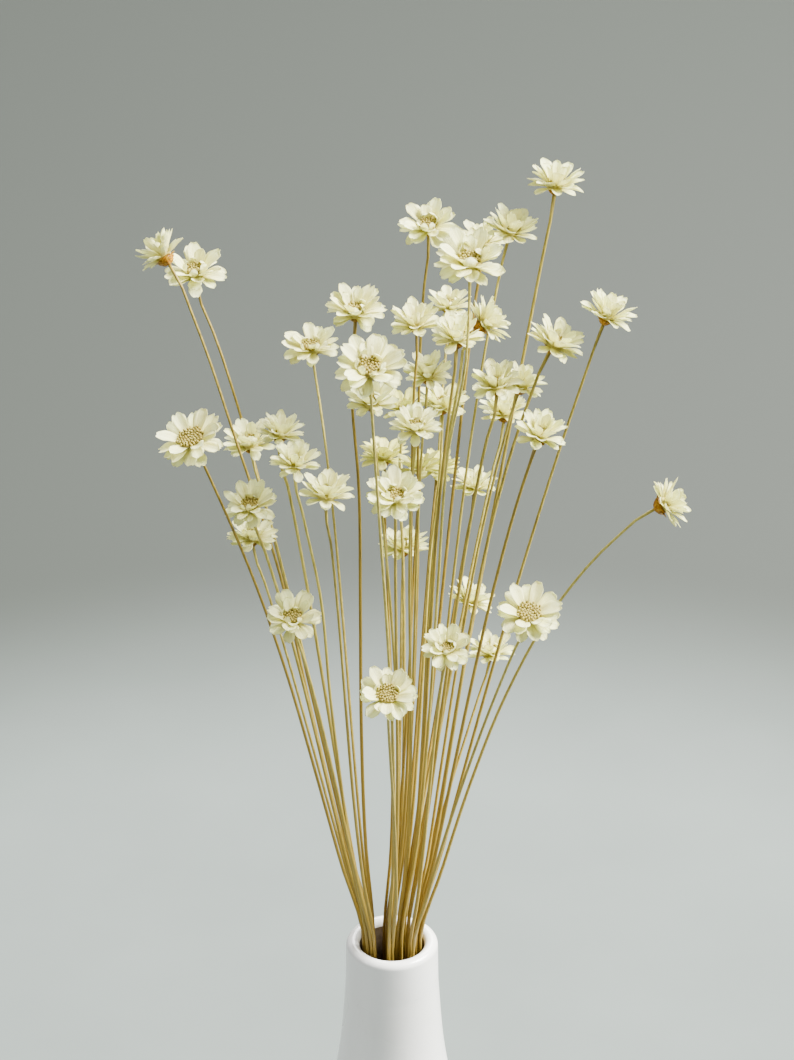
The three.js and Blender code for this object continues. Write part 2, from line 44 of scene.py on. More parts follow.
# Vase
VASE_HEIGHT = 140
VASE_SIDES = 128
FOOT_RADIUS = 21
MOUTH_RADIUS = 8.8
LIP_RADIUS = 12.4
FLOOR_THICKNESS = 5
FOOT_BEAD = (23.2, 0.9)           # radius of the rounded bead round the foot's edge, and its own radius
VASE_OUTSIDE = [(24, 3), (26.2, 14), (25.2, 32), (21, 62), (16.6, 90), (14, 108), (12.6, 127)]
VASE_INSIDE = [(9, 129), (10.5, 108), (12.9, 90), (17.3, 62), (21.5, 32), (21.8, 16), (17.5, 5)]
OUTSIDE_STEPS = 60
INSIDE_STEPS = 50
LIP_STEPS = 17
BEAD_STEPS = 8
END_RADIUS = 1                    # of the small flat discs that close the foot and the floor

# Stems
STEM_RADIUS = 0.42
STEM_SIDES = 8
STEM_RINGS = 46
CLEARANCE = 0.3
MOUTH_SPREAD = 7.9
MOUTH_SPACING = 1.2
MOUTH_CLUSTER = 0.03
MOUTH_ROUNDS = 300
MOUTH_PUSH = 0.3
FOOT_SCALE = 1.5
FOOT_RING = 0.36
STEM_STEPS = (0.16, 0.34, 0.53, 0.73, 0.9)
STEM_GAP = 1.32
HEAD_GAP = 1.5
BEND_ROUNDS = 80
STEM_PUSH = 0.25
HEAD_PUSH = 0.35
HEAD_LEVELS = (-2, 2)
RISE_SHARE = 0.75
AXIS_SHARE = 0.15
END_PULL = 0.9
BELOW_MOUTH = 12                  # how far below the mouth a stem begins to bend outwards
INTO_HEAD = 0.5                   # how far it runs on into the head
STEM_BREADTHS = (0.84, 1.06)      # thickness of single stems, against a typical one
STEM_BELOW = 1.22                 # thickness up to the mouth, and how much of it is lost up to the head
STEM_TAPER = 0.32
NECK_START = 0.985                # how far along a stem it swells under its head, and by how much
NECK_SWELL = 0.3
GOLDEN_HEIGHTS = (150, 290)       # heights between which the stems' deep gold pales upwards
MOUTH_SHADE_HEIGHTS = (112, 162)        # heights between which the painted shade on the stems in and just above the mouth fades upwards

# Flower heads, at the size of a head TYPICAL_HEAD across
TYPICAL_HEAD = 14
HEAD_RISE = 1.3
CLOSED_CUP = (2.4, 3)             # radius and depth of the cup on a closed head, and on one that has opened
OPEN_CUP = (1.5, 2.2)
CUP_OPENS = 0.2                   # how far a head has opened when its cup is at its smallest
CUP_RIM = -0.95                   # height of the cup's widest ring
CUP_SIDES = 18
# The cup's outline, by radius against its widest ring and height up to it
CUP_BOWL = [(0.32, 0.05), (0.6, 0.25), (0.82, 0.52), (0.95, 0.78), (1, 1)]
# Its rows of scales: how many, their root's radius, their height in the cup, the degrees that they
# rise and their length, by the cup's radius
CUP_SCALES = [(7, 0.34, 0.06, 36, 0.6), (9, 0.62, 0.26, 52, 0.55), (11, 0.86, 0.55, 60, 0.4),
              (9, 0.92, 0.95, 16, 0.55)]
SCALE_THICKNESS = 0.1
SCALE_HALF_WIDTH = 0.28
SCALE_FACES = 5                   # points across a scale and along it
RING_SIDES = 20
# The ring that the petals grow on, by radius and height
PETAL_RING = [(1.28, -0.5), (1.9, -0.52), (2.2, -0.3), (2.25, 0.1), (2.2, 0.5), (1.9, 0.75), (1.28, 0.62)]
ROOT_RADIUS = 2.05
ROOT_HEIGHTS = (-0.1, 0.3)        # heights at which the outer and the inner petals grow
SIX_PETAL_SHARE = 0.28            # share of the heads with six petals in a layer; the rest have five
FIVE_PETAL_BREADTH = 1.1          # how much broader the petals are where there are five
# Degrees that the outer and the inner petals rise, from the lowest to the highest
CLOSED_PITCH = ((8, 26), (50, 60))
OPEN_PITCH = ((-8, 8), (20, 32))
CLOSED_HALF_WIDTH = 1.38          # of a petal, in a closed and in an open head
OPEN_HALF_WIDTH = 1.84
OUTER_LENGTHS = (1.04, 1.14)      # of both layers, against the room beside the ring
INNER_LENGTHS = (1.14, 1.28)
# A petal of the two main layers: its breadth, the width of its end, how far its edges stand up, how
# far its end curls, in degrees, how far it bends to a side, and the share of petals with a notch
MAIN_PETAL = {"breadths": (0.92, 1.06), "ends": (0.6, 0.78), "edges": (0.4, 0.6), "curls": (-10, 12),
              "skew": 0.35, "notched": 0.4}
# The same for a petal of the layers round them, which also varies in pitch and length
ADDED_PETAL = {"breadths": (0.82, 1.06), "ends": (0.55, 0.75), "edges": (0.35, 0.65), "curls": (-14, 20),
               "skew": 0.5, "notched": 0.35}
ADDED_PITCH = 9
ADDED_LENGTHS = (0.92, 1.08)
FEWEST_ADDED = 5                  # petals in a layer below or between, and how many more by chance
MORE_BY_CHANCE = 3
INSIDE_PETALS = 7                 # inside a closed head
ADDED_TURN = 0.15                 # how far an added petal strays from its even place
# A petal folded over the disc: the degrees that it rises and folds, its length and half its width
FOLDED_RISE = (62, 80)
FOLDED_OVER = (40, 105)
FOLDED_LENGTHS = (2.6, 3.7)
FOLDED_HALF_WIDTHS = (0.8, 1.2)
FOLDED_SKEW = 0.3
FOLDED_TWIST = 25
FOLDED_FACES = (7, 9)
FOLDED_TURN = 0.3
HALF_OPEN = (0.25, 0.7)           # how far a head has opened that has more of them, and how many more
FOLDED_IN_HALF_OPEN = 4
NOTCHES = (0.07, 0.15)            # depth of a notch, and of the slight one in a rounded end
SLIGHT_NOTCHES = (0, 0.04)
NOTCH_PLACE = 0.2                 # how far it strays from the middle, and its width
NOTCH_WIDTH = 0.2
WAVES = (0.03, 0.12)
LOBES = 0.018
ROOT_WIDTH = 0.42                 # width of a petal at its root
BROAD_AT = 0.68                   # how far along a petal its broadest place is
CREASE_DEPTH = 0.12
CREASE_WIDTH = 0.22
PETAL_TWIST = 14
PETAL_THICKNESS = 0.13
PETAL_GLOW = 0.47                 # share of its light that a petal lets through
PETAL_COLUMNS = 8
PETAL_ROWS = 11
PETAL_ROOT = 1.35                 # radius at which the petals come out from under the disc
CLOSED_DISC = 1.85                # radius of the disc in a closed and in an open head
OPEN_DISC = 3.35
DISC_HEIGHT = 1.35
DISC_SIDES = 18
FLORET_SHARE = 6.5                # florets on a disc of one millimetre's radius
FLORET_RADIUS = 0.24
FLORET_SIDES = 5
FLORET_PARTS = 5
FLORET_LENGTHS = (0.75, 1.1)
FLORET_BREADTHS = (0.85, 1.15)
FLORET_SWAY = 0.3                 # how far it leans to a side
FLORET_HOOKS = (0.7, 1.9)         # how far its end bends in
FLORET_SWELL = (0.75, 0.95, 1.05, 1.15, 0.95, 0.35)
GOLDEN_ANGLE = math.radians(137.508)
# The finishes of a bundle's piece, in the order of its materials
STEM, CUP, FLORET, DOME = range(4)
# Painted shade and glow: the heads deep in the bunch are tinted yellow, most of all near this place above the
# mouth, for the shade they lie in and the light coming through their petals
DEEP_SHADE_GLOW_MIDDLE = (8, 36, 130)
DEEP_SHADE_GLOW_SPREAD = (20, 17, 28)

# The bunch, by bundles. mouth is where a bundle passes through the vase's mouth and rise is how far
# it leans there. A head is its middle from the middle of the mouth (x, y, z), its lean to the right
# and nod to the front in degrees, its width, how strongly its stem droops outwards at the top, and how
# far it has opened, from 0 to 1.
BUNDLES = [
    {"mouth": (-6.2, 3.4), "rise": (-0.24, 0.14), "heads": [
        (-59, 39, 187, -40, -25, 13, 0.2, 0), (-51, 51, 176, 0, 10, 15.8, 0.28, 0.5),
        (-37, 32, 136, -5, 0, 14.4, 0.1, 0.3)]},
    {"mouth": (-7, 0), "rise": (-0.25, 0.04), "heads": [
        (-50, -7, 158, -18, 17, 15.4, 0.18, 0.9), (-36, 2, 134, -5, 15, 13.4, 0.12, 0.5),
        (-36, 14, 118, 0, 0, 12.6, 0.1, 0.4)]},
    {"mouth": (-5.6, -3.4), "rise": (-0.18, -0.06), "heads": [
        (-28, 4, 154, 10, -5, 12, 0.1, 0.15), (-24, -10, 153, 5, 5, 12.4, 0.1, 0.2),
        (-16, -22, 151, 5, 0, 13.6, 0.1, 0.2), (-25, -12, 109, 0, 22, 14, 0.1, 0.5)]},
    {"mouth": (-5.2, 1.4), "rise": (-0.12, 0.08), "heads": [
        (-9, 9, 186, 0, 8, 14.8, 0.05, 0.4), (-21, 45, 157, -5, 10, 14, 0.22, 0.5)]},
    {"mouth": (-0.4, -4.8), "rise": (0.1, -0.14), "heads": [
        (-5, -47, 199, 0, 25, 16, 0.1, 0.6), (-1, -39, 103, 0, 25, 14.2, 0.08, 0.75),
        (1, -18, 148, 0, 20, 14.2, 0.1, 0.4)]},
    {"mouth": (5.2, -4.2), "rise": (0.16, -0.16), "heads": [
        (34, -33, 123, 5, 22, 15.2, 0.12, 0.8), (14, -17, 103, 0, 30, 12.2, 0.1, 0.4)]},
    {"mouth": (6.8, -0.6), "rise": (0.2, 0), "heads": [
        (69, -15, 144, 64, 0, 12.8, 0.62, 0), (54, 9, 185, 22, -12, 14, 0.06, 0.2),
        (41, 5, 179, 28, 0, 14.4, 0.2, 0.3), (37, -6, 159, 14, 6, 13.2, 0.1, 0.1)]},
    {"mouth": (2, -2), "rise": (0.18, -0.03), "heads": [
        (19, -12, 210, 0, 16, 16.6, 0.1, 0.5), (16, -7, 187, 0, 0, 13.4, 0.1, 0.1),
        (6, -6, 161, 0, 5, 12.4, 0.1, 0.3)]},
    {"mouth": (-0.4, 0.4), "rise": (0.17, 0.04), "heads": [
        (9, 22, 203, -5, 18, 14, 0.1, 0.5), (6, 4, 185, -5, 0, 13, 0.05, 0.2),
        (9, 13, 166, 0, 0, 12.6, 0.1, 0.15), (-5, 4, 163, 0, 0, 13, 0.1, 0.3)]},
    {"mouth": (3.8, 0.9), "rise": (0.16, 0.05), "heads": [
        (30, 24, 201, 15, -5, 14, 0.12, 0.2), (24, 12, 181, 55, -10, 13, 0.12, 0),
        (26, 0, 170, -5, 5, 13, 0.12, 0.1)]},
    {"mouth": (6.2, 3.2), "rise": (0.14, 0.1), "heads": [
        (41, 28, 212, 5, -8, 14.2, 0.02, 0.2), (33, 13, 163, 20, -5, 11.8, 0.12, 0.1),
        (26, 19, 80, 0, -5, 12.6, 0.1, 0.4)]},
    {"mouth": (2.2, 4), "rise": (0.17, 0.12), "heads": [
        (23, 40, 190, 0, 0, 12.8, 0.12, 0.3), (13, 25, 151, 0, -5, 13.4, 0.12, 0.4),
        (29, 30, 146, 0, -5, 12.8, 0.12, 0.15)]},
    {"mouth": (2.8, 6.8), "rise": (0.1, 0.2), "heads": [
        (15, 59, 162, 0, -5, 12, 0.12, 0.4), (21, 29, 90, 25, -10, 12.6, 0.1, 0.3),
        (12, 38, 125, 5, -10, 12, 0.1, 0.4), (22, 50, 113, 0, -5, 12.2, 0.1, 0.3)]},
    {"mouth": (-1.2, 4.6), "rise": (0.16, 0.16), "heads": [
        (3, 34, 145, 0, -5, 12.6, 0.1, 0.4), (-2, 39, 128, 0, -10, 13, 0.1, 0.4),
        (7, 26, 132, -5, -10, 11.6, 0.1, 0.4), (3, 40, 100, 0, -10, 13.4, 0.1, 0.4)]},
]

# Camera: it looks down on the bunch with a long lens
CAMERA_PITCH = math.radians(30)
CAMERA_PLACE = (0.00135, -0.88009, 0.77564)
CAMERA_LENS = 135.85
CAMERA_SENSOR = 36

# The table and the light, in metres and watts. A lamp is its name, place, size, power and colour.
TABLE_HALF = 6
TABLE_FADE = (0.28, 0.45)         # distances from the vase between which the pale table turns grey
LAMPS = [
    ("key", (1.5, 0.1, 1.9), 1.2, 445, (1.0, 0.99, 0.95)),
    ("fill", (-1.7, -1.1, 1.2), 1.6, 22, (0.97, 0.99, 1.0)),
    ("back", (0.4, 1.6, 1.6), 1.2, 85, (1.0, 0.99, 0.95)),
]
LAMPS_AIM = (0, 0, 0.2)
SKY_COLOUR = (0.93, 0.95, 1.0, 1)
SKY_STRENGTH = 0.5


class Draws:
    """A repeatable stream of numbers from 0 to 1."""

    WORD = 0xFFFFFFFF

    def __init__(self, seed):
        self.state = seed & self.WORD

    def number(self):
        self.state = (self.state + 0x6D2B79F5) & self.WORD
        mixed = self.state
        mixed = ((mixed ^ (mixed >> 15)) * (mixed | 1)) & self.WORD
        mixed ^= (mixed + (mixed ^ (mixed >> 7)) * (mixed | 61)) & self.WORD
        return (mixed ^ (mixed >> 14)) / (self.WORD + 1)

    def between(self, low, high):
        return low + (high - low) * self.number()


def unit(vector):
    return vector / np.linalg.norm(vector)


def smooth_step(low, high, value):
    share = np.clip((value - low) / (high - low), 0, 1)
    return share * share * (3 - 2 * share)


def axis_of(lean, nod):
    """The direction that a head faces."""
    turn = math.radians(lean)
    bow = math.radians(nod)
    return np.array((math.sin(turn) * math.cos(bow), -math.sin(bow), math.cos(turn) * math.cos(bow)))


class Flower:
    """A head and its stem: where they are and how large."""

    def __init__(self, number, bundle, head):
        x, y, z, lean, nod, width, droop, opened = head
        self.number = number
        self.bundle = bundle
        self.width = width
        self.droop = droop
        self.opened = opened
        self.scale = width / TYPICAL_HEAD
        self.axis = axis_of(lean, nod)
        self.centre = np.array((x, y, z + VASE_HEIGHT)) - HEAD_RISE * self.scale * self.axis
        share = min(1, opened / CUP_OPENS)
        self.cup_radius, self.cup_depth = (
            closed + (open_one - closed) * share for closed, open_one in zip(CLOSED_CUP, OPEN_CUP))
        self.disc_radius = CLOSED_DISC + (OPEN_DISC - CLOSED_DISC) * opened ** 2
        self.half_petal = (CLOSED_HALF_WIDTH + (OPEN_HALF_WIDTH - CLOSED_HALF_WIDTH) * opened) * self.scale
        self.petal_room = width / 2 - ROOT_RADIUS * self.scale
        self.base = self.centre - self.cup_depth * self.scale * self.axis
        turn = Vector((0, 0, 1)).rotation_difference(Vector(self.axis)).to_matrix()
        self.turn = np.array(turn)
        # How much painted shade and glow a head gets from lying deep in the bunch
        away = (np.array((x, y, z)) - DEEP_SHADE_GLOW_MIDDLE) / DEEP_SHADE_GLOW_SPREAD
        self.yellow = math.exp(-float(away @ away))

    def place(self, points):
        """Points of the head, upright round its own centre, where the head stands."""
        return points @ self.turn.T + self.centre


def all_flowers():
    flowers = []
    for bundle, row in enumerate(BUNDLES):
        for head in row["heads"]:
            flowers.append(Flower(len(flowers), bundle, head))
    return flowers


def in_bundle(flowers, bundle):
    return [flower for flower in flowers if flower.bundle == bundle]


def place_in_mouth(flowers):
    """The stems of a bundle pass through the mouth close to each other."""
    for bundle, row in enumerate(BUNDLES):
        group = in_bundle(flowers, bundle)
        middle = sum(flower.centre[:2] for flower in group) / len(group)
        for flower in group:
            flower.mouth = (flower.centre[:2] - middle) * MOUTH_CLUSTER + np.array(row["mouth"])
    for _ in range(MOUTH_ROUNDS):
        for i, flower in enumerate(flowers):
            for other in flowers[:i]:
                apart = flower.mouth - other.mouth
                distance = math.hypot(*apart)
                if distance < MOUTH_SPACING:
                    push = apart * (MOUTH_PUSH * (MOUTH_SPACING - distance) / distance)
                    flower.mouth = flower.mouth + push
                    other.mouth = other.mouth - push
        for flower in flowers:
            radius = math.hypot(*flower.mouth)
            if radius > MOUTH_SPREAD:
                flower.mouth = flower.mouth * (MOUTH_SPREAD / radius)


def place_feet(flowers):
    """The cut ends of a bundle stand close together on the vase's floor."""
    for bundle in range(len(BUNDLES)):
        group = in_bundle(flowers, bundle)
        middle = sum(flower.mouth for flower in group) / len(group)
        turned = [math.atan2(*(flower.mouth - middle)[::-1]) % (2 * math.pi) for flower in group]
        order = sorted(range(len(group)), key=lambda index: turned[index])
        for place, index in enumerate(order):
            angle = turned[order[0]] + 2 * math.pi * place / len(group)
            group[index].foot = np.array((
                middle[0] * FOOT_SCALE + FOOT_RING * math.cos(angle),
                middle[1] * FOOT_SCALE + FOOT_RING * math.sin(angle),
                FLOOR_THICKNESS + CLEARANCE,
            ))


def hermite(start, start_pull, end, end_pull, t):
    t2 = t * t
    t3 = t2 * t
    return (start * (2 * t3 - 3 * t2 + 1) + start_pull * (t3 - 2 * t2 + t)
            + end * (-2 * t3 + 3 * t2) + end_pull * (t3 - t2))


def draw_stems(flowers):
    """Foot, mouth, the steps above it, and the base of the head."""
    for flower in flowers:
        mouth = np.array((*flower.mouth, VASE_HEIGHT))
        rise = unit(np.array((*BUNDLES[flower.bundle]["rise"], 1)))
        outward = unit(flower.centre * (1, 1, 0))
        chord = flower.base - mouth
        length = np.linalg.norm(chord)
        chord = chord / length
        start_pull = (rise * RISE_SHARE + chord * (1 - RISE_SHARE)) * length
        end_pull = unit(chord + outward * flower.droop + flower.axis * AXIS_SHARE) * END_PULL * length
        steps = [hermite(mouth, start_pull, flower.base, end_pull, t) for t in STEM_STEPS]
        flower.path = [list(map(float, point)) for point in [flower.foot, mouth, *steps, flower.base]]


def point_at(flower, z):
    """The span that a height falls in, how far along it that is, and the stem's middle there."""
    path = flower.path
    span = 1
    while span < len(path) - 2 and path[span + 1][2] < z:
        span += 1
    low = path[span]
    high = path[span + 1]
    along = (z - low[2]) / (high[2] - low[2])
    return span, along, low[0] + (high[0] - low[0]) * along, low[1] + (high[1] - low[1]) * along


def give_way(flower, span, along, dx, dy):
    """Moves the two ends of a span so that the stem gives way at one height."""
    share = (1 - along) * (1 - along) + along * along
    if span > 1:
        flower.path[span][0] += dx * (1 - along) / share
        flower.path[span][1] += dy * (1 - along) / share
    if span + 1 < len(flower.path) - 1:
        flower.path[span + 1][0] += dx * along / share
        flower.path[span + 1][1] += dy * along / share


def pass_head(stem, other):
    room = other.width / 2 + HEAD_GAP
    for level in HEAD_LEVELS:
        z = float(other.centre[2]) + level
        if z >= stem.path[-1][2]:
            continue
        span, along, x, y = point_at(stem, z)
        dx = x - float(other.centre[0])
        dy = y - float(other.centre[1])
        distance = math.sqrt(dx * dx + dy * dy)
        if distance < room:
            push = HEAD_PUSH * (room - distance) / distance
            give_way(stem, span, along, dx * push, dy * push)


def pass_stem(stem, other):
    for here in stem.path[2:-1]:
        if here[2] >= other.path[-1][2]:
            continue
        span, along, x, y = point_at(other, here[2])
        dx = here[0] - x
        dy = here[1] - y
        distance = math.sqrt(dx * dx + dy * dy)
        if distance < STEM_GAP:
            push = STEM_PUSH * (STEM_GAP - distance) / distance
            here[0] += dx * push
            here[1] += dy * push
            give_way(other, span, along, -dx * push, -dy * push)


def bend_clear(flowers):
    """Bends the stems clear of each other and of the heads that they pass."""
    for _ in range(BEND_ROUNDS):
        for stem in flowers:
            for other in flowers:
                if other is not stem:
                    pass_head(stem, other)
                    pass_stem(stem, other)


class Skin:
    """Points and faces gathered into one mesh, with the numbers that its materials read."""

    NUMBERS = ("along", "across", "tone", "yellow")

    def __init__(self):
        self.points = []
        self.faces = []
        self.finishes = []
        self.numbers = {name: [] for name in self.NUMBERS}
        self.count = 0

    def add(self, points, faces, finish=0, **numbers):
        self.points.append(points)
        self.faces.extend([tuple(self.count + corner for corner in face) for face in faces])
        self.finishes.extend([finish] * len(faces))
        for name in self.NUMBERS:
            self.numbers[name].append(np.broadcast_to(numbers.get(name, 0.0), len(points)))
        self.count += len(points)

    def piece(self, name, materials):
        mesh = bpy.data.meshes.new(name)
        mesh.from_pydata((np.concatenate(self.points) * MILLIMETRE).tolist(), [], self.faces)
        for number, values in self.numbers.items():
            attribute = mesh.attributes.new(number, "FLOAT", "POINT")
            attribute.data.foreach_set("value", np.concatenate(values).astype(np.float32))
        for material in materials:
            mesh.materials.append(material)
        mesh.polygons.foreach_set("material_index", self.finishes)
        mesh.shade_smooth()
        mesh.validate()
        made = bpy.data.objects.new(name, mesh)
        bpy.context.scene.collection.objects.link(made)
        return made


def revolved(profile, sides):
    """Rings of points round the upright axis, by radius and height."""
    angles = np.arange(sides) * 2 * math.pi / sides
    return [np.stack([r * np.cos(angles), r * np.sin(angles), np.full(sides, z)], axis=-1)
            for r, z in profile]


def end_faces(rings, sides):
    """The flat faces that close the first and the last ring."""
    last = (rings - 1) * sides
    return [tuple(reversed(range(sides))), tuple(last + side for side in range(sides))]


def ring_faces(rings, sides):
    """The faces between rings of points that follow each other, each closed on itself."""
    faces = []
    for ring in range(rings - 1):
        for side in range(sides):
            after = (side + 1) % sides
            faces.append((ring * sides + side, ring * sides + after,
                          (ring + 1) * sides + after, (ring + 1) * sides + side))
    return faces


def add_tube(skin, centres, radii, sides, finish, **numbers):
    """A round tube along a line of points, closed at both ends."""
    centres = np.asarray(centres, float)
    directions = np.gradient(centres, axis=0)
    across = unit(np.cross(directions[0], (0.3, 0.9, 0.1)))
    rings = []
    angles = np.arange(sides) * 2 * math.pi / sides
    for centre, direction, radius in zip(centres, directions, radii):
        direction = unit(direction)
        across = unit(across - direction * (across @ direction))
        around = np.cross(direction, across)
        rings.append(centre + radius * (np.outer(np.cos(angles), across) + np.outer(np.sin(angles), around)))
    faces = ring_faces(len(rings), sides) + end_faces(len(rings), sides)
    spread = {name: np.repeat(value, sides) if np.ndim(value) else value for name, value in numbers.items()}
    skin.add(np.concatenate(rings), faces, finish, **spread)


def spline(points, count):
    """Points on a smooth curve that passes through the given ones."""
    points = np.asarray(points, float)
    made = []
    for place in np.linspace(0, len(points) - 1, count):
        low = min(int(place), len(points) - 2)
        t = place - low
        before = points[max(low - 1, 0)]
        after = points[min(low + 2, len(points) - 1)]
        start_pull = (points[low + 1] - before) / 2
        end_pull = (after - points[low]) / 2
        made.append(hermite(points[low], start_pull, points[low + 1], end_pull, t))
    return np.array(made)


def smooth_path(points, count):
    """Points spaced evenly on a smooth curve through points that stand unevenly."""
    points = np.asarray(points, float)
    reached = np.concatenate([[0], np.cumsum(np.linalg.norm(np.diff(points, axis=0), axis=1))])
    pulls = np.gradient(points, reached, axis=0)
    made = []
    for place in np.linspace(0, reached[-1], count):
        low = min(int(np.searchsorted(reached, place, "right")) - 1, len(points) - 2)
        length = reached[low + 1] - reached[low]
        made.append(hermite(points[low], pulls[low] * length, points[low + 1], pulls[low + 1] * length,
                            (place - reached[low]) / length))
    return np.array(made)


def add_stem(skin, flower):
    path = np.array(flower.path)
    below = path[1] + (path[0] - path[1]) * BELOW_MOUTH / VASE_HEIGHT
    inside = path[-1] + INTO_HEAD * flower.scale * flower.axis
    line = smooth_path([path[0], below, *path[1:], inside], STEM_RINGS)
    along = np.linspace(0, 1, STEM_RINGS)
    draw = Draws(401 + flower.number)
    risen = smooth_step(VASE_HEIGHT, flower.base[2], line[:, 2])
    taper = STEM_BELOW - STEM_TAPER * risen + NECK_SWELL * smooth_step(NECK_START, 1, along)
    radii = STEM_RADIUS * draw.between(*STEM_BREADTHS) * taper
    add_tube(skin, line, radii, STEM_SIDES, STEM, along=line[:, 2], tone=draw.number())


def add_blade(skin, flower, angle, shape, finish, columns, rows):
    """A thin blade that grows out from the head's axis: a petal or a scale of the cup."""
    across = np.linspace(-1, 1, columns)
    lobes = shape["reach"](across)
    t = np.outer(np.linspace(0, 1, rows), lobes)
    u = np.broadcast_to(across, t.shape)
    pitch = shape["pitch"](t)
    fine = np.linspace(0, 1.2, 61)
    fine_pitch = shape["pitch"](fine)
    step = shape["length"] * (fine[1] - fine[0])
    run = np.concatenate([[0], np.cumsum(np.cos(fine_pitch[:-1]) * step)])
    climb = np.concatenate([[0], np.cumsum(np.sin(fine_pitch[:-1]) * step)])
    out_at = shape["root"] + np.interp(t, fine, run)
    up_at = shape["height"] + np.interp(t, fine, climb)
    side_at = u * shape["half_width"] * shape["width"](t) + shape["skew"] * t
    lift = shape["lift"](u, t)
    twist = shape["twist"] * t
    side_at, lift = (side_at * np.cos(twist) - lift * np.sin(twist),
                     side_at * np.sin(twist) + lift * np.cos(twist))
    thickness = shape["thickness"] * (1 - 0.6 * u ** 4) * (1 - 0.5 * t ** 3)
    sheets = []
    for offset in (thickness / 2, -thickness / 2):
        outwards = out_at - (lift + offset) * np.sin(pitch)
        upwards = up_at + (lift + offset) * np.cos(pitch)
        x = outwards * math.cos(angle) - side_at * math.sin(angle)
        y = outwards * math.sin(angle) + side_at * math.cos(angle)
        sheets.append(np.stack([x, y, upwards], axis=-1))
    top, bottom = sheets
    rings = np.concatenate([top, bottom[:, ::-1]], axis=1)
    sides = 2 * columns
    faces = ring_faces(rows, sides)
    for column in range(columns - 1):
        for start, order in ((0, 1), ((rows - 1) * sides, -1)):
            corners = (start + column, start + column + 1,
                       start + sides - 2 - column, start + sides - 1 - column)
            faces.append(corners[::order])
    skin.add(flower.place(rings.reshape(-1, 3)), faces, finish,
             along=np.concatenate([t, t], axis=1).ravel(),
             across=np.concatenate([u, u[:, ::-1]], axis=1).ravel(),
             tone=shape["tone"], yellow=flower.yellow)


def blade_of_petal(fine, flower, petal):
    """Gives a petal its broad rounded or notched end, its fine waves and its crease."""
    scale = flower.scale
    notch = fine.between(*(NOTCHES if petal["notched"] else SLIGHT_NOTCHES))
    notch_at = fine.between(-NOTCH_PLACE, NOTCH_PLACE)
    wave = fine.between(*WAVES) * scale
    wave_phase = fine.between(0, 2 * math.pi)
    extra = (ROOT_RADIUS - PETAL_ROOT) * scale / petal["length"]

    def reach(u):
        lobes = LOBES * np.cos(7 * u + wave_phase)
        return 1.02 - 0.26 * np.abs(u) ** 3 - notch * np.exp(-((u - notch_at) / NOTCH_WIDTH) ** 2) + lobes

    def width(t):
        narrow = ROOT_WIDTH + (1 - ROOT_WIDTH) * smooth_step(-0.25, BROAD_AT, t - extra)
        return narrow * (1 - (1 - petal["end_width"]) * 0.45 * smooth_step(BROAD_AT, 1.05, t))

    def lift(u, t):
        cupped = petal["edge_lift"] * u ** 2 * smooth_step(0.05, 0.6, t) * (1 - 0.65 * smooth_step(0.6, 1, t))
        waved = wave * np.sin(5.5 * t + 2.2 * u + wave_phase) * smooth_step(0.2, 0.8, t)
        crease = CREASE_DEPTH * scale * np.exp(-(u / CREASE_WIDTH) ** 2) * smooth_step(0.1, 0.5, t)
        return cupped + waved - crease

    return {
        "root": PETAL_ROOT * scale, "height": petal["height"] * scale,
        "length": petal["length"] * (1 + extra),
        "pitch": lambda t: petal["pitch"] + petal["curl"] * smooth_step(0.5, 0.85, t),
        "half_width": petal["half_width"], "width": width, "reach": reach, "skew": petal["skew"],
        "lift": lift, "twist": math.radians(fine.between(-PETAL_TWIST, PETAL_TWIST)),
        "thickness": PETAL_THICKNESS,
        "tone": fine.number(),
    }


def pitch_of(flower, layer, share):
    """How far a petal rises, between the lowest and the highest of its layer."""
    low, high = (closed + (opened - closed) * flower.opened
                 for closed, opened in zip(CLOSED_PITCH[layer], OPEN_PITCH[layer]))
    return math.radians(low + (high - low) * share)


def drawn_petal(draw, flower, kind, height, pitch, length, breadth):
    """A petal's numbers, drawn from the ranges of its kind."""
    return {
        "height": height,
        "pitch": pitch,
        "length": length,
        "half_width": flower.half_petal * breadth * draw.between(*kind["breadths"]),
        "end_width": draw.between(*kind["ends"]),
        "edge_lift": draw.between(*kind["edges"]) * flower.scale,
        "curl": math.radians(draw.between(*kind["curls"])),
        "skew": draw.between(-kind["skew"], kind["skew"]) * flower.scale,
        "notched": draw.number() < kind["notched"],
    }


def petal_shape(draw, fine, flower, layer, six):
    """A petal of the outer or inner layer, with the same draws as the solid's petal takes."""
    pitch = pitch_of(flower, layer, draw.number())
    length = flower.petal_room * draw.between(*(OUTER_LENGTHS, INNER_LENGTHS)[layer])
    breadth = 1 if six else FIVE_PETAL_BREADTH
    petal = drawn_petal(draw, flower, MAIN_PETAL, ROOT_HEIGHTS[layer], pitch, length, breadth)
    return blade_of_petal(fine, flower, petal)


def added_petal_shape(fine, flower, layer):
    """A narrower petal of one of the layers below, between and inside the two main ones."""
    outer = pitch_of(flower, 0, 0.5)
    inner = pitch_of(flower, 1, 0.5)
    stray = math.radians(fine.between(-ADDED_PITCH, ADDED_PITCH))
    pitch = outer + (inner - outer) * layer["share"] + stray
    length = flower.petal_room * layer["length"] * fine.between(*ADDED_LENGTHS)
    petal = drawn_petal(fine, flower, ADDED_PETAL, layer["height"], pitch, length, 1)
    return blade_of_petal(fine, flower, petal)


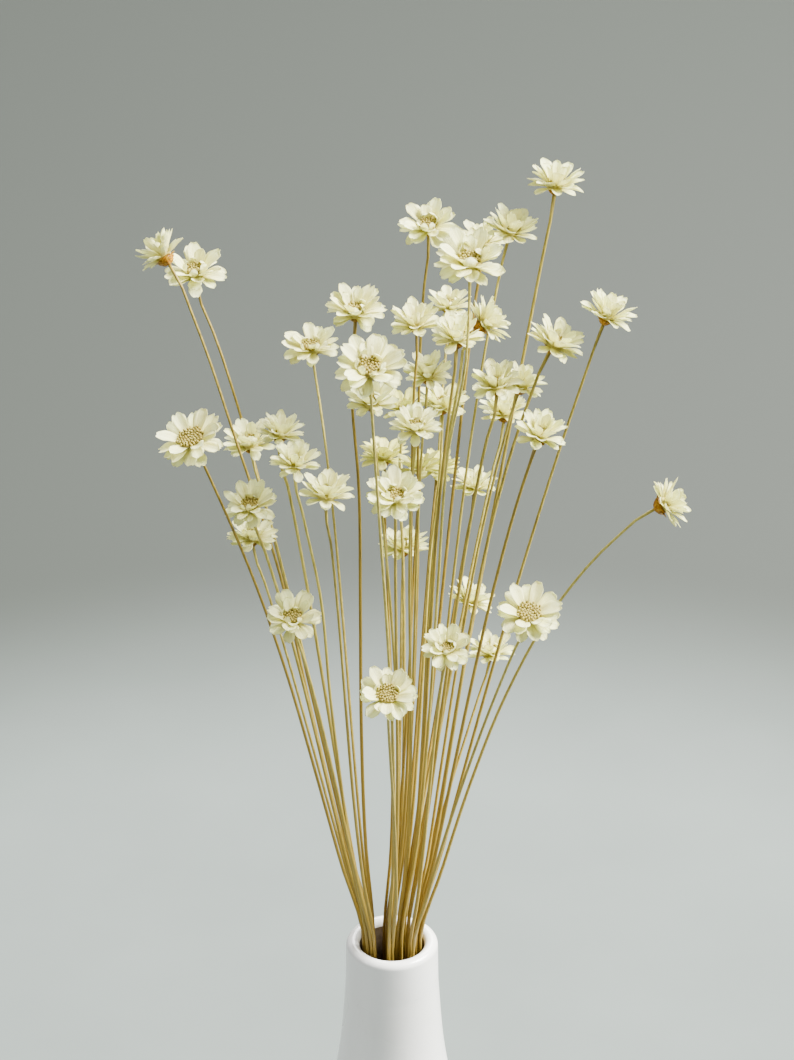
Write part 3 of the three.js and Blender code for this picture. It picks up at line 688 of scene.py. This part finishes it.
def folded_petal_shape(fine, flower):
    """A small narrow petal that stands up beside the disc and folds over it."""
    scale = flower.scale
    start = math.radians(fine.between(*FOLDED_RISE))
    fold = math.radians(fine.between(*FOLDED_OVER))
    return {
        "root": (flower.disc_radius + 0.1) * scale, "height": 0.5 * scale,
        "length": fine.between(*FOLDED_LENGTHS) * scale,
        "pitch": lambda t: start + fold * smooth_step(0.25, 0.95, t),
        "half_width": fine.between(*FOLDED_HALF_WIDTHS) * scale,
        "width": lambda t: 0.55 + 0.45 * smooth_step(0, 0.5, t),
        "reach": lambda u: 1 - 0.35 * np.abs(u) ** 2.4,
        "skew": fine.between(-FOLDED_SKEW, FOLDED_SKEW) * scale,
        "lift": lambda u, t: 0.25 * scale * u ** 2,
        "twist": math.radians(fine.between(-FOLDED_TWIST, FOLDED_TWIST)), "thickness": PETAL_THICKNESS,
        "tone": fine.number(),
    }


def add_petals(skin, flower):
    draw = Draws(101 + 17 * flower.number)
    fine = Draws(9001 + 31 * flower.number)
    spin = draw.between(0, 2 * math.pi)
    six = draw.number() < SIX_PETAL_SHARE
    count = 6 if six else 5
    step = 2 * math.pi / count
    for k in range(count):
        for layer in (0, 1):
            shape = petal_shape(draw, fine, flower, layer, six)
            angle = spin + k * step + (step / 2 if layer == 0 else step)
            add_blade(skin, flower, angle, shape, 0, PETAL_COLUMNS, PETAL_ROWS)
    for layer in added_layers(fine, flower):
        for k in range(layer["count"]):
            shape = added_petal_shape(fine, flower, layer)
            stray = fine.between(-ADDED_TURN, ADDED_TURN)
            angle = spin + 2 * math.pi * (k + layer["turn"] + stray) / layer["count"]
            add_blade(skin, flower, angle, shape, 0, PETAL_COLUMNS, PETAL_ROWS)
    half_open = HALF_OPEN[0] < flower.opened < HALF_OPEN[1]
    folded = int(MORE_BY_CHANCE * fine.number()) + (FOLDED_IN_HALF_OPEN if half_open else 0)
    for k in range(folded):
        angle = spin + 2 * math.pi * (k + fine.between(-FOLDED_TURN, FOLDED_TURN)) / folded
        add_blade(skin, flower, angle, folded_petal_shape(fine, flower), 0, *FOLDED_FACES)


def added_layers(fine, flower):
    """Petals below, between and inside the two main layers. A closed head shows the more of them."""
    closed = 1 - flower.opened
    return [
        {"count": FEWEST_ADDED + int(MORE_BY_CHANCE * fine.number() + 2 * closed), "turn": 0.75,
         "share": -0.3 - 0.25 * flower.opened, "length": 0.98, "height": -0.3},
        {"count": FEWEST_ADDED + int(MORE_BY_CHANCE * fine.number() + closed), "turn": 0.25,
         "share": 0.5, "length": 1.16, "height": 0.15},
        {"count": int(INSIDE_PETALS * closed), "turn": 0.4,
         "share": 1.2 + 0.4 * closed, "length": 0.72 + 0.25 * closed, "height": 0.4},
    ]


def add_root_ring(skin, flower):
    """The ring that the petals grow on, round the neck of the stem."""
    rings = revolved(PETAL_RING + PETAL_RING[:1], RING_SIDES)
    skin.add(flower.place(np.concatenate(rings) * flower.scale), ring_faces(len(rings), RING_SIDES), 0,
             tone=0.5)


def add_round(skin, flower, profile, sides, finish, tone):
    """A solid of revolution round the head's axis, by radius and height from below to above."""
    rings = revolved(profile, sides)
    faces = ring_faces(len(rings), sides) + end_faces(len(rings), sides)
    heights = np.repeat([z for _, z in profile], sides)
    skin.add(flower.place(np.concatenate(rings) * flower.scale), faces, finish,
             along=heights, tone=tone)


def level_in_cup(flower, share):
    """The height in the cup, from its foot up to its widest ring."""
    return CUP_RIM - (flower.cup_depth + CUP_RIM) * (1 - share)


def scale_shape(draw, flower, row):
    """One scale of the cup."""
    _, root, share, rise, length = row
    size = flower.cup_radius * flower.scale
    lean = math.radians(rise + draw.between(-6, 6))
    return {
        "root": root * size,
        "height": level_in_cup(flower, share) * flower.scale,
        "length": length * size,
        "pitch": lambda t: lean - 0.2 * t,
        "half_width": SCALE_HALF_WIDTH * size,
        "width": lambda t: 1 - 0.25 * t ** 2,
        "reach": lambda u: 1 - 0.6 * np.abs(u) ** 1.6,
        "skew": 0,
        "lift": lambda u, t: -0.1 * flower.scale * u ** 2,
        "twist": 0,
        "thickness": SCALE_THICKNESS,
        "tone": draw.number(),
    }


def add_cup(skin, flower):
    """The small cup under the petals, with its close scales. The last of them lie along the petals."""
    rim = flower.cup_radius
    foot = (STEM_RADIUS * 1.1 / flower.scale, -flower.cup_depth - 0.1)
    bowl = [(radius * rim, level_in_cup(flower, share)) for radius, share in CUP_BOWL]
    add_round(skin, flower, [foot, *bowl, (0.85 * rim, -0.7), (0.5, -0.62)], CUP_SIDES, CUP, 0.5)
    draw = Draws(5003 + 13 * flower.number)
    for row, numbers in enumerate(CUP_SCALES):
        count = numbers[0]
        for k in range(count):
            angle = 2 * math.pi * (k + 0.5 * row + draw.between(-0.15, 0.15)) / count
            add_blade(skin, flower, angle, scale_shape(draw, flower, numbers), CUP, SCALE_FACES, SCALE_FACES)


def add_floret(skin, flower, draw, share, angle):
    """A small curled tube that stands on the disc and hooks over towards its middle."""
    radius = (flower.disc_radius + 0.05) * math.sqrt(share)
    out = np.array((math.cos(angle), math.sin(angle), 0))
    side = np.array((-math.sin(angle), math.cos(angle), 0))
    up = np.array((0, 0, 1.0))
    lean = 0.4 * share ** 2 + draw.between(-0.15, 0.25)
    sway = draw.between(-FLORET_SWAY, FLORET_SWAY)
    hook = draw.between(*FLORET_HOOKS) * (0.35 + share)
    length = draw.between(*FLORET_LENGTHS) * (0.7 + 0.4 * share)
    centres = [out * radius + up * (DISC_HEIGHT + 0.15 - 0.2 * share ** 3)]
    for part in np.linspace(0, 1, FLORET_PARTS):
        bend = lean - hook * part ** 1.5
        way = unit(up * math.cos(bend) + out * math.sin(bend) + side * sway * part)
        centres.append(centres[-1] + way * length / FLORET_PARTS)
    radii = np.array(FLORET_SWELL) * FLORET_RADIUS * draw.between(*FLORET_BREADTHS) * flower.scale
    line = flower.place(np.array(centres) * flower.scale)
    add_tube(skin, line, radii, FLORET_SIDES, FLORET, along=np.linspace(0, 1, len(line)),
             tone=draw.number())


def add_disc(skin, flower):
    """The dome in the middle of the head and the curled florets that cover it."""
    rim = flower.disc_radius
    neck = [(0.5, -0.7), (0.5, 0.8), (rim - 0.6, 0.9)]
    dome = [(rim, 1.15), (rim - 0.1, 1.4), (rim * 0.68, 1.62), (rim * 0.36, 1.66), (0.25, 1.6)]
    add_round(skin, flower, neck + dome, DISC_SIDES, DOME, 0.5)
    draw = Draws(7001 + 19 * flower.number)
    florets = int(FLORET_SHARE * rim ** 2)
    for k in range(florets):
        add_floret(skin, flower, draw, (k + 0.5) / florets, GOLDEN_ANGLE * k)


def vase_skin():
    skin = Skin()
    middle = (MOUTH_RADIUS + LIP_RADIUS) / 2
    half_wall = (LIP_RADIUS - MOUTH_RADIUS) / 2
    bead_middle, bead_radius = FOOT_BEAD
    lip = [(middle + half_wall * math.cos(turn), VASE_HEIGHT - half_wall + half_wall * math.sin(turn))
           for turn in np.linspace(0, math.pi, LIP_STEPS)]
    bead = [(bead_middle + bead_radius * math.cos(turn), bead_radius + bead_radius * math.sin(turn))
            for turn in np.linspace(-math.pi / 2, -0.1, BEAD_STEPS)]
    outside = spline(VASE_OUTSIDE, OUTSIDE_STEPS)
    inside = spline(VASE_INSIDE, INSIDE_STEPS)
    glazed = [(END_RADIUS, 0), (FOOT_RADIUS - 2, 0), *bead, *outside, *lip]
    profile = [*glazed, *inside, (END_RADIUS, FLOOR_THICKNESS)]
    rings = revolved(profile, VASE_SIDES)
    faces = ring_faces(len(rings), VASE_SIDES) + end_faces(len(rings), VASE_SIDES)
    skin.add(np.concatenate(rings), faces, 0)
    # The inside of the vase takes the second material: painted shade, a dark brown where the inside lies in
    # shadow behind the stems
    first_shaded_inside = (len(glazed) - 1) * VASE_SIDES
    shaded_inside = (len(rings) - len(glazed)) * VASE_SIDES
    skin.finishes[first_shaded_inside:first_shaded_inside + shaded_inside] = [1] * shaded_inside
    skin.finishes[-1] = 1
    return skin


def linear(colour):
    """A colour given by its bytes, as linear light."""
    return tuple(((part / 255 + 0.055) / 1.055) ** 2.4 for part in colour)


class Shader:
    """A material's node tree, with short ways to add nodes. Colours are given by their bytes."""

    def __init__(self, name):
        self.material = bpy.data.materials.new(name)
        self.material.use_nodes = True
        self.nodes = self.material.node_tree.nodes
        self.links = self.material.node_tree.links
        self.surface = self.nodes["Principled BSDF"]
        self.output = self.nodes["Material Output"]

    def node(self, kind, **settings):
        made = self.nodes.new(kind)
        for name, value in settings.items():
            setattr(made, name, value)
        return made

    def feed(self, node, values):
        """Gives a node's inputs numbers, colours or what other nodes put out."""
        for name, value in values.items():
            if hasattr(value, "is_output"):
                self.links.new(value, node.inputs[name])
            else:
                node.inputs[name].default_value = value if np.ndim(value) == 0 else (*linear(value), 1)

    def give(self, name, value):
        """Sets one property of the surface."""
        self.feed(self.surface, {name: value})

    def number(self, name):
        return self.node("ShaderNodeAttribute", attribute_name=name).outputs["Fac"]

    def place(self, scale=(1, 1, 1)):
        """Where a point is, in millimetres, with each direction stretched."""
        coordinates = self.node("ShaderNodeTexCoord")
        mapping = self.node("ShaderNodeMapping")
        mapping.inputs["Scale"].default_value = [1 / MILLIMETRE * part for part in scale]
        self.feed(mapping, {"Vector": coordinates.outputs["Object"]})
        return mapping.outputs["Vector"]

    def noise(self, place, scale, detail=3, roughness=0.5):
        made = self.node("ShaderNodeTexNoise")
        self.feed(made, {"Vector": place, "Scale": scale, "Detail": detail, "Roughness": roughness})
        return made.outputs["Fac"]

    def ramp(self, factor, stops):
        made = self.node("ShaderNodeValToRGB")
        elements = made.color_ramp.elements
        while len(elements) < len(stops):
            elements.new(0.5)
        for element, (place, colour) in zip(elements, stops):
            element.position = place
            element.color = (*linear(colour), 1)
        self.feed(made, {"Fac": factor})
        return made.outputs["Color"]

    def mix(self, kind, factor, first, second):
        made = self.node("ShaderNodeMix", data_type="RGBA", blend_type=kind)
        self.feed(made, {"Factor": factor, "A": first, "B": second})
        return made.outputs["Result"]

    def maths(self, operation, first, second=0.0):
        made = self.node("ShaderNodeMath", operation=operation)
        self.feed(made, {0: first, 1: second})
        return made.outputs["Value"]

    def spread(self, value, low, high, new_low, new_high):
        made = self.node("ShaderNodeMapRange", interpolation_type="SMOOTHSTEP")
        self.feed(made, {"Value": value, "From Min": low, "From Max": high,
                         "To Min": new_low, "To Max": new_high})
        return made.outputs["Result"]

    def bump(self, height, distance, strength=1.0):
        made = self.node("ShaderNodeBump")
        self.feed(made, {"Height": height, "Distance": distance * MILLIMETRE, "Strength": strength})
        self.give("Normal", made.outputs["Normal"])
        return made.outputs["Normal"]


def petal_finish():
    shader = Shader("papery_petal")
    along = shader.number("along")
    across = shader.number("across")
    tone = shader.number("tone")
    body = shader.ramp(along, [
        (0.0, (220, 210, 108)), (0.2, (238, 235, 150)), (0.45, (247, 247, 192)),
        (0.8, (250, 253, 208)), (1.0, (251, 254, 214))])
    # Painted shade and glow: petals of heads deep in the bunch are mixed towards yellow
    deep_shade_glowed = shader.mix("MIX", shader.spread(shader.number("yellow"), 0.1, 0.9, 0, 0.7), body,
                          (230, 230, 112))
    shift = shader.mix("MIX", shader.spread(tone, 0, 1, 0, 0.35), deep_shade_glowed, (238, 233, 180))
    blotches = shader.noise(shader.place(), 0.55, 4, 0.6)
    aged = shader.mix("MULTIPLY", shader.spread(blotches, 0.5, 0.75, 0, 0.55), shift, (240, 232, 192))

    stretched = shader.node("ShaderNodeCombineXYZ")
    shader.feed(stretched, {"X": shader.maths("MULTIPLY", across, 4.5),
                            "Y": shader.maths("MULTIPLY", along, 1.1),
                            "Z": shader.maths("MULTIPLY", tone, 37)})
    veins = shader.noise(stretched.outputs["Vector"], 1.6, 3, 0.55)
    veined = shader.mix("MULTIPLY", shader.spread(veins, 0.48, 0.66, 0, 0.5), aged, (228, 222, 184))
    shader.give("Base Color", veined)
    shader.give("Roughness", shader.spread(blotches, 0.3, 0.7, 0.48, 0.66))
    shader.give("Specular IOR Level", 0.35)
    crinkle = shader.noise(shader.place(), 2.6, 4, 0.6)
    height = shader.maths("ADD", veins, shader.maths("MULTIPLY", crinkle, 0.35))
    normal = shader.bump(height, 0.16, 0.8)

    glow = shader.node("ShaderNodeBsdfTranslucent")
    shader.feed(glow, {"Color": veined, "Normal": normal})
    both = shader.node("ShaderNodeMixShader")
    shader.feed(both, {"Fac": PETAL_GLOW, 1: shader.surface.outputs["BSDF"], 2: glow.outputs["BSDF"]})
    shader.feed(shader.output, {"Surface": both.outputs["Shader"]})
    return shader.material


def stem_finish():
    shader = Shader("dry_stem")
    height = shader.number("along")
    tone = shader.number("tone")
    streaks = shader.noise(shader.place((1, 1, 0.05)), 1.9, 4, 0.6)
    body = shader.ramp(streaks, [
        (0.3, (130, 118, 44)), (0.48, (170, 158, 68)), (0.62, (190, 179, 88)),
        (0.8, (210, 202, 124))])
    toned = shader.mix("MULTIPLY", shader.spread(tone, 0.2, 0.9, 0, 1), body, (190, 172, 112))
    lower = shader.mix("MIX", shader.spread(height, *GOLDEN_HEIGHTS, 0.8, 0), toned, (159, 131, 43))
    # Painted shade: the stems darken to a deep brown in and just above the vase's mouth, where the bunch is
    # in shadow
    shaded_at_mouth = shader.mix("MIX", shader.spread(height, *MOUTH_SHADE_HEIGHTS, 0.9, 0), lower, (84, 54, 18))
    shader.give("Base Color", shaded_at_mouth)
    shader.give("Roughness", shader.spread(streaks, 0.3, 0.7, 0.42, 0.6))
    ribs = shader.noise(shader.place((1, 1, 0.02)), 4.5, 2, 0.5)
    shader.bump(ribs, 0.12, 0.7)
    return shader.material


def cup_finish():
    shader = Shader("golden_cup")
    along = shader.number("along")
    tone = shader.number("tone")
    grain = shader.noise(shader.place(), 1.8, 3, 0.6)
    body = shader.ramp(grain, [
        (0.3, (124, 80, 0)), (0.5, (166, 116, 0)), (0.72, (196, 148, 0))])
    toned = shader.mix("MULTIPLY", shader.spread(tone, 0, 1, 0, 0.6), body, (230, 204, 110))
    tipped = shader.mix("MIX", shader.spread(along, 0.5, 1, 0, 0.6), toned, (200, 178, 14))
    shader.give("Base Color", tipped)
    shader.give("Roughness", 0.42)
    shader.give("Specular IOR Level", 0.3)
    shader.bump(grain, 0.1, 0.5)
    return shader.material


def floret_finish():
    shader = Shader("curled_floret")
    along = shader.number("along")
    tone = shader.number("tone")
    body = shader.ramp(along, [
        (0.0, (118, 106, 36)), (0.45, (148, 136, 54)), (0.8, (164, 153, 70)),
        (1.0, (176, 166, 84))])
    toned = shader.mix("MULTIPLY", shader.spread(tone, 0, 1, 0, 0.6), body, (222, 204, 140))
    grain = shader.noise(shader.place(), 5, 3, 0.6)
    speckled = shader.mix("MULTIPLY", shader.spread(grain, 0.45, 0.7, 0, 0.4), toned, (170, 132, 70))
    shader.give("Base Color", speckled)
    shader.give("Roughness", 0.8)
    shader.bump(grain, 0.05, 0.5)
    return shader.material


def dome_finish():
    shader = Shader("dark_dome")
    grain = shader.noise(shader.place(), 3.5, 4, 0.6)
    body = shader.ramp(grain, [
        (0.35, (124, 109, 38)), (0.6, (150, 135, 54)), (0.8, (166, 152, 70))])
    shader.give("Base Color", body)
    shader.give("Roughness", 0.7)
    shader.bump(grain, 0.15, 0.6)
    return shader.material


def glaze_finish():
    shader = Shader("white_glaze")
    drift = shader.noise(shader.place(), 0.035, 3, 0.5)
    body = shader.ramp(drift, [(0.3, (228, 228, 222)), (0.7, (236, 236, 232))])
    specks = shader.noise(shader.place(), 1.1, 2, 0.5)
    speckled = shader.mix("MULTIPLY", shader.spread(specks, 0.7, 0.8, 0, 0.12), body, (216, 208, 194))
    shader.give("Base Color", speckled)
    shader.give("Roughness", shader.spread(drift, 0.3, 0.7, 0.24, 0.32))
    shader.give("Coat Weight", 0.35)
    shader.give("Coat Roughness", 0.12)
    ripple = shader.noise(shader.place(), 0.09, 2, 0.5)
    shader.bump(ripple, 0.35, 0.35)
    return shader.material


# Painted shade: a dark brown for the inside of the vase, which lies in shadow behind the stems
def painted_shade_inside_finish():
    shader = Shader("painted_shade_inside")
    grain = shader.noise(shader.place(), 0.8, 4, 0.6)
    body = shader.ramp(grain, [(0.35, (72, 58, 40)), (0.65, (98, 82, 60))])
    shader.give("Base Color", body)
    shader.give("Roughness", 0.85)
    shader.bump(grain, 0.2, 0.5)
    return shader.material


def table_finish():
    shader = Shader("pale_table")
    coordinates = shader.node("ShaderNodeTexCoord")
    distance = shader.node("ShaderNodeVectorMath", operation="LENGTH")
    shader.feed(distance, {"Vector": coordinates.outputs["Object"]})
    beyond = shader.spread(distance.outputs["Value"], *TABLE_FADE, 0, 1)
    grain = shader.noise(shader.place(), 0.02, 3, 0.5)
    pale = shader.ramp(grain, [(0.3, (98, 106, 103)), (0.7, (102, 110, 107))])
    shader.give("Base Color", shader.mix("MIX", beyond, pale, (53, 57, 53)))
    shader.give("Roughness", 0.6)
    shader.give("Specular IOR Level", 0.2)
    return shader.material


def make_bunch(flowers):
    petal = petal_finish()
    golden = [stem_finish(), cup_finish(), floret_finish(), dome_finish()]
    for flower in flowers:
        skin = Skin()
        add_root_ring(skin, flower)
        add_petals(skin, flower)
        number = f"{flower.number + 1:02d}"
        piece = skin.piece(f"head_petals_{number}", [petal])
        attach(piece, "root")
        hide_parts(f"petals_{number}")
    for bundle in range(len(BUNDLES)):
        skin = Skin()
        for flower in in_bundle(flowers, bundle):
            add_stem(skin, flower)
            add_cup(skin, flower)
            add_disc(skin, flower)
        number = f"{bundle + 1:02d}"
        piece = skin.piece(f"stem_bundle_{number}", golden)
        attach(piece, "root")
        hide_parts(f"stems_{number}")


def make_vase():
    piece = vase_skin().piece("bud_vase", [glaze_finish(), painted_shade_inside_finish()])
    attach(piece, "root")
    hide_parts("vase")


def make_table():
    mesh = bpy.data.meshes.new("pale_table")
    corners = [(x * TABLE_HALF, y * TABLE_HALF, 0) for x, y in ((-1, -1), (1, -1), (1, 1), (-1, 1))]
    mesh.from_pydata(corners, [], [(0, 1, 2, 3)])
    mesh.materials.append(table_finish())
    table = bpy.data.objects.new("pale_table", mesh)
    bpy.context.scene.collection.objects.link(table)


def add_lamp(name, place, size, power, colour):
    lamp = bpy.data.lights.new(name, "AREA")
    lamp.shape = "DISK"
    lamp.size = size
    lamp.energy = power
    lamp.color = colour
    made = bpy.data.objects.new(name, lamp)
    made.location = place
    aim = Vector(LAMPS_AIM) - Vector(place)
    made.rotation_euler = aim.to_track_quat("-Z", "Y").to_euler()
    bpy.context.scene.collection.objects.link(made)


def make_light():
    for lamp in LAMPS:
        add_lamp(*lamp)
    world = bpy.data.worlds.new("soft_room")
    world.use_nodes = True
    sky = world.node_tree.nodes["Background"]
    sky.inputs["Color"].default_value = SKY_COLOUR
    sky.inputs["Strength"].default_value = SKY_STRENGTH
    bpy.context.scene.world = world


def make_camera():
    camera = bpy.data.cameras.new("camera")
    camera.lens = CAMERA_LENS
    camera.sensor_width = CAMERA_SENSOR
    camera.clip_end = 50
    made = bpy.data.objects.new("camera", camera)
    made.location = CAMERA_PLACE
    made.rotation_euler = (math.pi / 2 - CAMERA_PITCH, 0, 0)
    bpy.context.scene.collection.objects.link(made)
    bpy.context.scene.camera = made


make_camera()
flowers = all_flowers()
place_in_mouth(flowers)
place_feet(flowers)
draw_stems(flowers)
bend_clear(flowers)
make_bunch(flowers)
make_vase()
make_table()
make_light()
